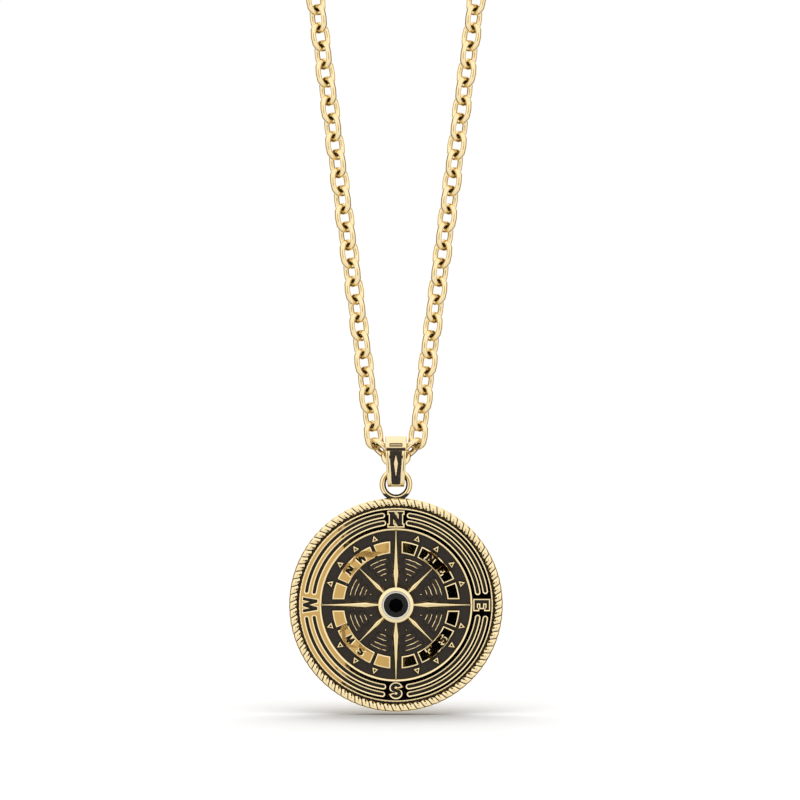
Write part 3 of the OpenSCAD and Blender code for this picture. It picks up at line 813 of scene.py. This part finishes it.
class COMPASS_OT_rope_edge(DiscPiece, bpy.types.Operator):
    """Makes the twisted rope round the disc"""

    bl_idname = "compass.rope_edge"
    bl_label = "Rope edge"

    def execute(self, context):
        s = self.sizes(context)
        bm = new_bmesh()
        gilt_and_shade = bm.verts.layers.float["gilt_and_shade"]
        radius = s.rope_w / 2
        middle_r = DISC_R - radius
        centre_z = ROPE_FRONT - radius
        sides, steps = 32, s.strands * 12
        ring = round_wire(bm, middle_r, s.rope_w, steps, sides)
        turnover = math.radians(110)
        # Each point is moved in between the strands, and in the small pit near each strand's inner end.
        for v in ring:
            around = math.atan2(v.co.y, v.co.x)
            out, up = math.hypot(v.co.x, v.co.y) - middle_r, v.co.z
            tilt = math.atan2(out, up)
            lean = tilt if abs(tilt) < turnover else math.copysign(
                turnover * (math.pi - abs(tilt)) / (math.pi - turnover), tilt
            )
            phase = (around * s.strands - 1.3 * lean) / 2
            lobe = abs(math.cos(phase))
            side = math.sin(phase) * math.copysign(1, math.cos(phase))
            pit = math.exp(-(((tilt + 0.62) / 0.4) ** 2) - ((side - 0.05) / 0.4) ** 2)
            outer = min(1.0, max(0.0, (tilt - 0.25) / 0.9))
            size = 1 - (0.3 - 0.22 * outer) * (1 - lobe) ** 1.1 - 0.07 * pit
            at = Vector((math.cos(around), math.sin(around), 0))
            v.co = at * (middle_r + out * size) + Vector((0, 0, up * size + centre_z))
            # Gold shows on the strands. Between them, in each pit and on the side toward the groove, the rope
            # turns dark: blackening left in these hollows, and painted shade in them.
            clear = min(1.0, max(0.45 * outer, (lobe - 0.12) / 0.3))
            low = min(1.0, max(0.0, (tilt + 1.35) / 0.35))
            v[gilt_and_shade] = (0.1 + 0.9 * clear) * (0.3 + 0.7 * low) * (1 - min(1.0, 1.35 * pit))
        self.finish(bm, "rope_edge", sharp=80)
        return {"FINISHED"}


class COMPASS_OT_rim(DiscPiece, bpy.types.Operator):
    """Makes the plain rim behind the rope"""

    bl_idname = "compass.rim"
    bl_label = "Rim"

    def execute(self, context):
        self.sizes(context)
        half, soft = ROPE_FRONT, 0.14 * MM
        outer, inner, front = DISC_R - 0.2 * MM, self.rope_in + 0.13 * MM, 0.2 * MM
        bm = new_bmesh()
        spin_profile(
            bm,
            [
                (inner, -half), (outer - soft, -half), (outer - 0.04 * MM, -half + 0.04 * MM),
                (outer, -half + soft), (outer, front - 0.1 * MM), (outer - 0.2 * MM, front), (inner, front),
            ],
            168,
        )
        gilt_and_shade = bm.verts.layers.float["gilt_and_shade"]
        for v in bm.verts:
            v[gilt_and_shade] = 0.4 if v.co.z > 0 else 1.0
        self.finish(bm, "rope_rim")
        return {"FINISHED"}


class COMPASS_OT_disc_ring(DiscPiece, bpy.types.Operator):
    """Makes the ring that is soldered on top of the disc"""

    bl_idname = "compass.disc_ring"
    bl_label = "Ring on the disc"

    def execute(self, context):
        s = self.sizes(context)
        radius = (s.ring_hole + s.ring_wire) / 2
        centre = DISC_R + s.solder + s.ring_hole / 2
        bm = new_bmesh()
        gilt_and_shade = bm.verts.layers.float["gilt_and_shade"]
        ring = round_wire(bm, radius, s.ring_wire, 64, 20)
        # The ring is darker on its inner side, most toward its bottom. Low down on its outside, where the
        # solder starts, a painted shadow darkens it.
        for v in ring:
            away = math.hypot(v.co.x, v.co.y) - radius
            low = min(1.0, max(0.0, -v.co.y / radius * 3 - 1.6)) if away > -s.ring_wire * 0.15 else 0.0
            inside = min(1.0, max(0.0, -away / s.ring_wire * 8 - 1.5)) * (0.85 - 0.3 * v.co.y / radius)
            v[gilt_and_shade] = min(0.95 - low, 1.0 - inside)
        bmesh.ops.translate(bm, vec=(0, centre, 0), verts=ring)
        solder = bmesh.ops.create_cube(bm, size=1.0)["verts"]
        for v in solder:
            wide = radius * (0.72 if v.co.y < 0 else 0.5)
            tall = DISC_R - s.rope_w / 2 if v.co.y < 0 else DISC_R + s.solder * 0.66
            v.co = Vector((math.copysign(wide, v.co.x), tall, math.copysign(s.ring_wire * 0.34, v.co.z)))
        edges = list({e for v in solder for e in v.link_edges})
        bmesh.ops.bevel(
            bm, geom=edges, offset=0.12 * MM, offset_type="OFFSET", segments=2, profile=0.5, affect="EDGES",
            material=-1, clamp_overlap=True,
        )
        # The solder is painted dark, as the shadow between the ring and the rope edge.
        wire = set(ring)
        for v in bm.verts:
            if v not in wire:
                v[gilt_and_shade] = 0.12
        self.finish(bm, "disc_ring", sharp=60)
        return {"FINISHED"}


def cad_copy(node, soft, segments, sharp=30):
    """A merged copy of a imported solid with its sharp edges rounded."""
    bm = bmesh.new()
    bm.from_mesh(frame["nodes"][node].data)
    bm.verts.layers.float.new("gilt_and_shade")
    bmesh.ops.remove_doubles(bm, verts=bm.verts, dist=0.002 * MM)
    bmesh.ops.dissolve_limit(
        bm, angle_limit=math.radians(0.5), use_dissolve_boundaries=False, verts=bm.verts, edges=bm.edges
    )
    bm.normal_update()
    edges = [e for e in bm.edges if e.is_manifold and e.calc_face_angle(0.0) > math.radians(sharp)]
    bmesh.ops.bevel(
        bm, geom=edges, offset=soft, offset_type="OFFSET", segments=segments, profile=0.5, affect="EDGES",
        material=-1, clamp_overlap=True,
    )
    return bm


def edge_share(distance, soft):
    """How far inside an edge a point is, from 0 outside to 1 past its soft part."""
    return min(1.0, max(0.0, distance / soft))


class COMPASS_OT_bail(bpy.types.Operator):
    """Makes the bail, with its dark sunk panel and the lozenge on it"""

    bl_idname = "compass.bail"
    bl_label = "Bail"
    bl_options = {"REGISTER", "UNDO"}

    thick: length("Thickness", "Thickness of the band", 0.5)
    foot_depth: length("Foot depth", "Depth of the bail at its foot, front to back", 3.6)
    foot_w: length("Foot width", "Width of the band, one millimetre under its foot", 2.05)
    panel: length("Panel depth", "Depth of the sunk panel", 0.2)
    column: length("Column", "Width of the raised column on each side of the panel", 0.56)
    lozenge: length("Lozenge", "Width of the lozenge on the panel", 0.62)
    rounding: length("Rounding", "Rounding of the edges", 0.14)

    def execute(self, context):
        head_r, foot_r = BAIL_HIGH.y, self.foot_depth / 2
        head_z, foot_z = BAIL_HIGH.z - head_r, BAIL_LOW.z + foot_r
        self.top = head_z + head_r * 0.4
        bm = new_bmesh()
        gilt_and_shade = bm.verts.layers.float["gilt_and_shade"]
        rows = []
        for y, z, out in self.line(head_r, foot_r, head_z, foot_z):
            front = y < 0 and z < head_z + head_r * 0.85
            section = self.section(self.half_width(z), z if front else None)
            row = [((x, y - out[0] * depth, z - out[1] * depth), shine) for x, depth, shine in section]
            rows.append(row + row[:1])
        rows.append(rows[0])
        across, along = len(rows[0]) - 1, len(rows) - 1
        grid = bmesh.ops.create_grid(bm, x_segments=across, y_segments=along, size=1.0)["verts"]
        points = [point for row in rows for point in row]
        for v, (place, shine) in zip(grid, points, strict=True):
            v.co, v[gilt_and_shade] = place, shine
        bmesh.ops.remove_doubles(bm, verts=grid, dist=SAME_PLACE)
        finish_piece(bm, "bail_band", [antiqued_gold()], "bail", ["bail"], sharp=60)
        return {"FINISHED"}

    def line(self, head_r, foot_r, head_z, foot_z):
        """Points round the outside of the bail, from its foot up the front, with their outward direction."""
        lean = math.asin((head_r - foot_r) / (head_z - foot_z))
        flat = (head_z - foot_z) * math.cos(lean)
        fine, coarse, quarter = 0.05 * MM, 0.2 * MM, math.pi / 2
        parts = [
            (foot_z, foot_r, -quarter, -lean, fine), (None, flat, -lean, -lean, fine),
            (head_z, head_r, -lean, quarter * 0.75, fine),
            (head_z, head_r, quarter * 0.75, 2 * quarter + lean, coarse),
            (None, -flat, 2 * quarter + lean, 2 * quarter + lean, coarse),
            (foot_z, foot_r, 2 * quarter + lean, 3 * quarter, coarse),
        ]
        for centre, size, start, end, step in parts:
            run = abs(size) if centre is None else size * (end - start)
            count = max(2, round(run / step))
            for i in range(count):
                angle = start + (end - start) * i / count
                out = (-math.cos(angle), math.sin(angle))
                if centre is not None:
                    yield out[0] * size, centre + out[1] * size, out
                    continue
                share = i / count if size > 0 else 1 - i / count
                radius = foot_r + (head_r - foot_r) * share
                yield out[0] * radius, foot_z + (head_z - foot_z) * share + out[1] * radius, out

    def half_width(self, z):
        """Half the width of the band at a height."""
        low = BAIL_LOW.z - 1 * MM
        share = min(1.0, (z - low) / (self.top - low))
        return self.foot_w / 2 + (BAIL_HIGH.x - self.foot_w / 2) * share

    def section(self, half, z):
        """Across the band: where it is, how deep it lies and how much gold shows there."""
        soft, count = self.rounding, 40
        edge = [(soft * (1 - math.cos(t)), soft * (1 - math.sin(t))) for t in (0.0, 0.35, 0.7, 1.05)]
        right = [(half - inward, depth, 1.0) for inward, depth in edge]
        flat = [(half - soft) * (1 - 2 * i / count) for i in range(count + 1)]
        middle = [(x, *(self.relief(abs(x), z, half) if z is not None else (0.0, 1.0))) for x in flat]
        left = [(-x, depth, shine) for x, depth, shine in reversed(right)]
        inner = half - 0.08 * MM
        back = [
            (-half, self.thick - 0.08 * MM, 0.9), (-inner, self.thick, 0.5), (0.0, self.thick, 0.3),
            (inner, self.thick, 0.5), (half, self.thick - 0.08 * MM, 0.9),
        ]
        return right + middle + left + back

    def relief(self, away, z, half):
        """Depth and gold of a place on the band's front, by its distance from the middle and its height."""
        low, top, soft = BAIL_LOW.z + 0.3 * MM, self.top, 0.06 * MM
        # The sunk panel is a well with a bar across its top, and the lozenge stands in it.
        bar = min(half - 0.12 * MM - away, z - top + 0.32 * MM, top + 0.1 * MM - z)
        well = min(half - self.column - away, z - low, top - 0.3 * MM - z)
        dark = max(edge_share(bar, soft), edge_share(well, soft))
        foot, peak = BAIL_LOW.z + 0.9 * MM, top - 0.45 * MM
        mid = foot + (peak - foot) * 0.59
        wide = self.lozenge / 2 * ((z - foot) / (mid - foot) if z < mid else (peak - z) / (peak - mid))
        dark *= 1 - edge_share(wide - away, soft)
        # Over the panel is a shallow slot with a bright strip in it, and a seam runs down each column.
        slot = edge_share(min(0.87 * MM - away, z - top - 0.22 * MM, top + 0.7 * MM - z), soft)
        strip = edge_share(min(0.76 * MM - away, z - top - 0.38 * MM, top + 0.56 * MM - z), soft * 0.8)
        seam = edge_share(0.08 * MM - abs(away - half + 0.27 * MM), 0.06 * MM)
        seam *= edge_share(z - low - 0.6 * MM, 1.5 * MM) * edge_share(top - 0.4 * MM - z, 0.1 * MM)
        crown = math.cos(min(1.0, away / (self.lozenge / 2)) * math.pi / 2) if wide > away else 0.0
        depth = self.panel * dark + 0.12 * MM * (slot - 0.8 * strip) + 0.08 * MM * seam - 0.05 * MM * crown
        return depth, min(1 - dark, 1 - slot + strip, 1 - 0.75 * seam)


class COMPASS_OT_stone(bpy.types.Operator):
    """Gives the black stone its polish"""

    bl_idname = "compass.stone"
    bl_label = "Stone"
    bl_options = {"REGISTER", "UNDO"}

    def execute(self, context):
        stone = frame["nodes"]["black_stone"]
        for slot in stone.material_slots:
            slot.material = black_spinel()
        return {"FINISHED"}


def between(a, b, roll):
    """The place between two points of the chain, turned about the line that joins them."""
    line = math.atan2(b[1] - a[1], b[0] - a[0])
    middle = Matrix.Translation(((a[0] + b[0]) / 2, 0, (a[1] + b[1]) / 2))
    return middle @ Matrix.Rotation(-line, 4, "Y") @ Matrix.Rotation(roll, 4, "X")


# Where the straight part starts, and the middle of the link below it, as shares of the pitch from the
# middle link.
STRAIGHT_FROM = (1.152, 0.655)
SHOULDER_AT = (0.798, 0.396)


class ChainLine:
    """The line that the chain follows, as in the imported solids."""

    def __init__(self, s):
        self.s = s
        self.head = JOINT_Z["bail_swing"]
        self.first_x = s.pitch * STRAIGHT_FROM[0]
        self.first_z = self.head + s.pitch * STRAIGHT_FROM[1]
        run = (s.straight - 1) * s.pitch
        run_x = self.first_x + run * math.sin(s.side)
        run_z = self.first_z + run * math.cos(s.side)
        self.arc_r = run_x / math.cos(s.side)
        self.arc_z = run_z + self.arc_r * math.sin(s.side)
        self.clasp_turn = 2 * math.asin(s.clasp / 2 / self.arc_r)
        self.end_turn = 2 * math.asin((s.end_hole - s.play) / 2 / self.arc_r)
        on_arc = s.links - s.straight
        self.step = (math.pi / 2 + s.side - (self.clasp_turn + self.end_turn) / 2) / (on_arc - 0.5)
        self.clasp_from = -(self.clasp_turn + self.end_turn - self.step) / 2

    def on_arc(self, angle):
        """A point on the arc at the top of the loop, turned clockwise from the top."""
        return (self.arc_r * math.sin(angle), self.arc_z + self.arc_r * math.cos(angle))

    def joint(self, k):
        """The upper end of a link on the left side."""
        s = self.s
        if k > s.straight:
            return self.on_arc(-math.pi / 2 - s.side + (k - s.straight) * self.step)
        run = (k - 1) * s.pitch
        return (-self.first_x - run * math.sin(s.side), self.first_z + run * math.cos(s.side))

    def side_links(self, count):
        """Where the links of one side lie, from the shoulder up."""
        s = self.s
        shoulder = (-s.pitch * SHOULDER_AT[0], self.head + s.pitch * SHOULDER_AT[1])
        step = (s.pitch / 2 * math.cos(s.shoulder), -s.pitch / 2 * math.sin(s.shoulder))
        yield between(
            (shoulder[0] + step[0], shoulder[1] + step[1]), (shoulder[0] - step[0], shoulder[1] - step[1]),
            s.shoulder_roll,
        )
        for k in range(2, count + 1):
            yield between(self.joint(k - 1), self.joint(k), s.roll + (math.pi / 2 if k % 2 == 0 else 0))


def make_chain(name, places, s, node):
    """Makes one side of the chain out of oval links."""
    template = new_bmesh()
    gilt_and_shade = template.verts.layers.float["gilt_and_shade"]
    radius = (s.link_w - s.wire) / 2
    stretch = s.pitch + s.play + 2 * s.wire - s.link_w
    for v in round_wire(template, radius, s.wire * s.full, 16, 6, stretch):
        # The inner side of each bend, where the next link hooks in, is painted dark as the shade there, and
        # filled a little.
        along = max(0.0, abs(v.co.x) - stretch / 2)
        away = math.hypot(along, v.co.y) - radius
        bend = min(1.0, max(0.0, along / radius * 1.8 - 0.55))
        v[gilt_and_shade] = 0.85 - bend * (1.0 if away < -s.wire / 4 else 0.0)
        if away < -s.wire / 4:
            centre = Vector((math.copysign(stretch / 2, v.co.x), 0, v.co.z))
            v.co += (centre - v.co).normalized() * s.fill * bend
    link = bpy.data.meshes.new("link")
    template.to_mesh(link)
    template.free()
    bm = new_bmesh()
    done = 0
    for place in places:
        bm.from_mesh(link)
        bm.verts.ensure_lookup_table()
        bmesh.ops.transform(bm, matrix=place, verts=bm.verts[done:])
        done = len(bm.verts)
    bpy.data.meshes.remove(link)
    finish_piece(bm, name, [antiqued_gold()], "chain", [node], sharp=80)


class COMPASS_OT_chain(bpy.types.Operator):
    """Makes both sides of the chain, link by link"""

    bl_idname = "compass.chain"
    bl_label = "Chain"
    bl_options = {"REGISTER", "UNDO"}

    def execute(self, context):
        s = context.scene.compass_chain
        line = ChainLine(s)
        mirror = Matrix.Scale(-1, 4, (1, 0, 0))
        middle = between((s.pitch / 2, line.head), (-s.pitch / 2, line.head), s.middle_roll)
        make_chain("left_chain", [middle] + list(line.side_links(s.links)), s, "chain_left")
        make_chain("right_chain", [mirror @ place for place in line.side_links(s.links - 1)], s, "chain_right")
        return {"FINISHED"}


class COMPASS_OT_clasp(bpy.types.Operator):
    """Makes the clasp and its end ring"""

    bl_idname = "compass.clasp"
    bl_label = "Clasp"
    bl_options = {"REGISTER", "UNDO"}

    rounding: length("Rounding", "Rounding of the clasp's edges", 0.2)

    def execute(self, context):
        s = context.scene.compass_chain
        line = ChainLine(s)
        bm = cad_copy("clasp", self.rounding, 3)
        finish_piece(bm, "clasp_body", [polished_gold()], "chain", ["clasp"], sharp=50)
        start = line.on_arc(line.clasp_from + line.clasp_turn)
        end = line.on_arc(line.clasp_from + line.clasp_turn + line.end_turn)
        bm = new_bmesh()
        round_wire(bm, (s.end_hole + s.end_wire) / 2, s.end_wire, 40, 14)
        place = between(start, end, s.roll + math.pi / 2)
        finish_piece(bm, "clasp_ring", [polished_gold()], "chain", ["end_ring"], place, sharp=80)
        return {"FINISHED"}


class COMPASS_OT_stage(bpy.types.Operator):
    """Makes the floor, the light and the camera"""

    bl_idname = "compass.stage"
    bl_label = "Stage"
    bl_options = {"REGISTER", "UNDO"}

    def execute(self, context):
        s = context.scene.compass_stage
        aim = Vector((s.aim_x, 0, DISC_Z + s.aim_up))
        camera = bpy.data.objects.new("camera", bpy.data.cameras.new("camera"))
        context.scene.collection.objects.link(camera)
        camera.location = aim + Vector((0, -s.distance, 0))
        camera.rotation_euler = (math.pi / 2, 0, 0)
        camera.data.sensor_width = 36.0
        camera.data.lens = 36.0 * s.distance / s.view_w
        camera.data.clip_start = 0.01
        context.scene.camera = camera
        self.floor(context, s)
        self.flag(context, s, aim)
        self.light(context, aim)
        self.tent(context)
        context.scene.view_settings.view_transform = "Standard"
        return {"FINISHED"}

    def floor(self, context, s):
        """A plain white floor, round, just under the disc."""
        bm = bmesh.new()
        bmesh.ops.create_circle(bm, cap_ends=True, segments=96, radius=s.floor_size / 2)
        low = DISC_Z - DISC_R - s.floor_gap
        bmesh.ops.translate(bm, vec=(0, 0, low), verts=bm.verts)
        mesh = bpy.data.meshes.new("floor")
        bm.to_mesh(mesh)
        bm.free()
        # Matt white paper, with painted shade that an occlusion node makes deeper where the disc stands close
        # over it.
        material, tree, place = new_material("white_paper")
        grain = add_node(
            tree, "ShaderNodeTexNoise", None, {"Vector": place, "Scale": 1 / (3 * MM), "Detail": 2.0}
        )
        pale = add_node(tree, "ShaderNodeValToRGB", None, {"Fac": grain.outputs["Fac"]})
        ramp(pale, [(0.0, 0.93), (1.0, 0.95)])
        shade = add_node(
            tree, "ShaderNodeAmbientOcclusion", {"samples": 16},
            {"Color": pale.outputs["Color"], "Distance": 45 * MM},
        )
        shader = add_node(tree, "ShaderNodeBsdfDiffuse", None, {"Color": shade.outputs["Color"]})
        add_node(tree, "ShaderNodeOutputMaterial", None, {"Surface": shader.outputs["BSDF"]})
        mesh.materials.append(material)
        floor = bpy.data.objects.new("floor", mesh)
        context.scene.collection.objects.link(floor)
        floor.visible_glossy = False

    def flag(self, context, s, aim):
        """A small black card beside the camera, which the right half of the disc mirrors."""
        bm = bmesh.new()
        bmesh.ops.create_grid(bm, x_segments=1, y_segments=1, size=0.5)
        size = Vector((76 * MM, 105 * MM))
        left = 2 * -7.0 * MM - s.aim_x
        low = 2 * (DISC_Z - DISC_R) - aim.z - 10 * MM
        for v in bm.verts:
            v.co = Vector((left + (v.co.x + 0.5) * size.x, -s.distance * 1.02, low + (v.co.y + 0.5) * size.y))
        mesh = bpy.data.meshes.new("flag")
        bm.to_mesh(mesh)
        bm.free()
        # Matt black card, which gives back next to no light.
        material, tree, _ = new_material("black_card")
        shader = add_node(tree, "ShaderNodeBsdfDiffuse", None, {"Color": linear("050505")})
        add_node(tree, "ShaderNodeOutputMaterial", None, {"Surface": shader.outputs["BSDF"]})
        mesh.materials.append(material)
        card = bpy.data.objects.new("flag", mesh)
        context.scene.collection.objects.link(card)
        card.visible_camera = False
        card.visible_shadow = False

    def light(self, context, aim):
        """A wide soft box overhead, so that the shadow lies round the foot of the disc."""
        data = bpy.data.lights.new("overhead", "AREA")
        data.shape, data.size, data.energy = "SQUARE", 2.0, 32.0
        light = bpy.data.objects.new("overhead", data)
        context.scene.collection.objects.link(light)
        light.location = aim + Vector((0, -0.12, 1.5))
        light.visible_glossy = False

    def tent(self, context):
        """A white tent round the piece, brown behind it, in front of a white background."""
        world = bpy.data.worlds.new("tent")
        world.use_nodes = True
        context.scene.world = world
        tree = world.node_tree
        tree.nodes.clear()
        direction = add_node(tree, "ShaderNodeTexCoord").outputs["Generated"]
        parts = add_node(tree, "ShaderNodeSeparateXYZ", None, {"Vector": direction})
        depth = add_node(
            tree, "ShaderNodeMapRange", None, {"Value": parts.outputs["Y"], "From Min": -1.0, "From Max": 1.0}
        )
        tone = add_node(tree, "ShaderNodeValToRGB", None, {"Fac": depth.outputs["Result"]})
        card, white, brown = linear("CEB589"), linear("FFFEFC"), linear("614B2F")
        ramp(tone, [
            (0.0, card), (0.012, card), (0.03, white), (0.44, white), (0.51, linear("CBB189")), (0.59, brown),
            (0.77, brown), (0.88, linear("F9F1E2")), (1.0, white),
        ])
        overhead = add_node(
            tree, "ShaderNodeMapRange", {"interpolation_type": "SMOOTHSTEP"},
            {"Value": parts.outputs["Z"], "From Min": 0.45, "From Max": 0.8},
        )
        sky = add_node(
            tree, "ShaderNodeMix", {"data_type": "RGBA"},
            {"Factor": overhead.outputs["Result"], 6: tone.outputs["Color"], 7: white},
        )
        height = add_node(
            tree, "ShaderNodeMapRange", None,
            {"Value": parts.outputs["Z"], "From Min": -0.9, "From Max": 0.5, "To Min": 0.94, "To Max": 1.2},
        )
        path = add_node(tree, "ShaderNodeLightPath")
        tent = add_node(
            tree, "ShaderNodeBackground", None,
            {"Color": sky.outputs["Result"], "Strength": height.outputs["Result"]},
        )
        plain = add_node(tree, "ShaderNodeBackground", None, {"Color": (1, 1, 1, 1), "Strength": 1.02})
        soft = add_node(tree, "ShaderNodeBackground", None, {"Color": (1, 1, 1, 1), "Strength": 0.3})
        gloss = add_node(
            tree, "ShaderNodeMixShader", None,
            {"Fac": path.outputs["Is Glossy Ray"], 1: soft.outputs[0], 2: tent.outputs[0]},
        )
        seen = add_node(
            tree, "ShaderNodeMixShader", None,
            {"Fac": path.outputs["Is Camera Ray"], 1: gloss.outputs[0], 2: plain.outputs[0]},
        )
        add_node(tree, "ShaderNodeOutputWorld", None, {"Surface": seen.outputs[0]})


class COMPASS_PT_panel(bpy.types.Panel):
    """Lists the pieces of the pendant, with its sizes and colours"""

    bl_idname = "COMPASS_PT_panel"
    bl_label = "Compass pendant"
    bl_space_type = "VIEW_3D"
    bl_region_type = "UI"
    bl_category = "Compass pendant"

    def draw(self, context):
        for operator in PIECES:
            self.layout.operator(operator.bl_idname)
        for group in GROUPS:
            box = self.layout.box()
            settings = getattr(context.scene, group)
            for key in settings.__annotations__:
                box.prop(settings, key)


GROUPS = {
    "compass_disc": DiscSizes,
    "compass_chain": ChainSizes,
    "compass_colours": FinishColours,
    "compass_stage": StageSizes,
}
PIECES = (
    COMPASS_OT_stage, COMPASS_OT_plate, COMPASS_OT_ring, COMPASS_OT_name_plates, COMPASS_OT_triangles,
    COMPASS_OT_ribs, COMPASS_OT_needles, COMPASS_OT_bezel, COMPASS_OT_rope_edge, COMPASS_OT_rim,
    COMPASS_OT_disc_ring, COMPASS_OT_bail, COMPASS_OT_stone, COMPASS_OT_chain, COMPASS_OT_clasp,
)


def register():
    """Registers the property groups, the operators and the panel."""
    for cls in (*GROUPS.values(), *PIECES, COMPASS_PT_panel):
        bpy.utils.register_class(cls)
    for name, cls in GROUPS.items():
        setattr(bpy.types.Scene, name, bpy.props.PointerProperty(type=cls))


def unregister():
    """Takes them away again."""
    for name in GROUPS:
        delattr(bpy.types.Scene, name)
    for cls in reversed((*GROUPS.values(), *PIECES, COMPASS_PT_panel)):
        bpy.utils.unregister_class(cls)


def main():
    """Makes every piece in order."""
    register()
    for operator in PIECES:
        group, name = operator.bl_idname.split(".")
        getattr(getattr(bpy.ops, group), name)()


if __name__ == "__main__":
    main()
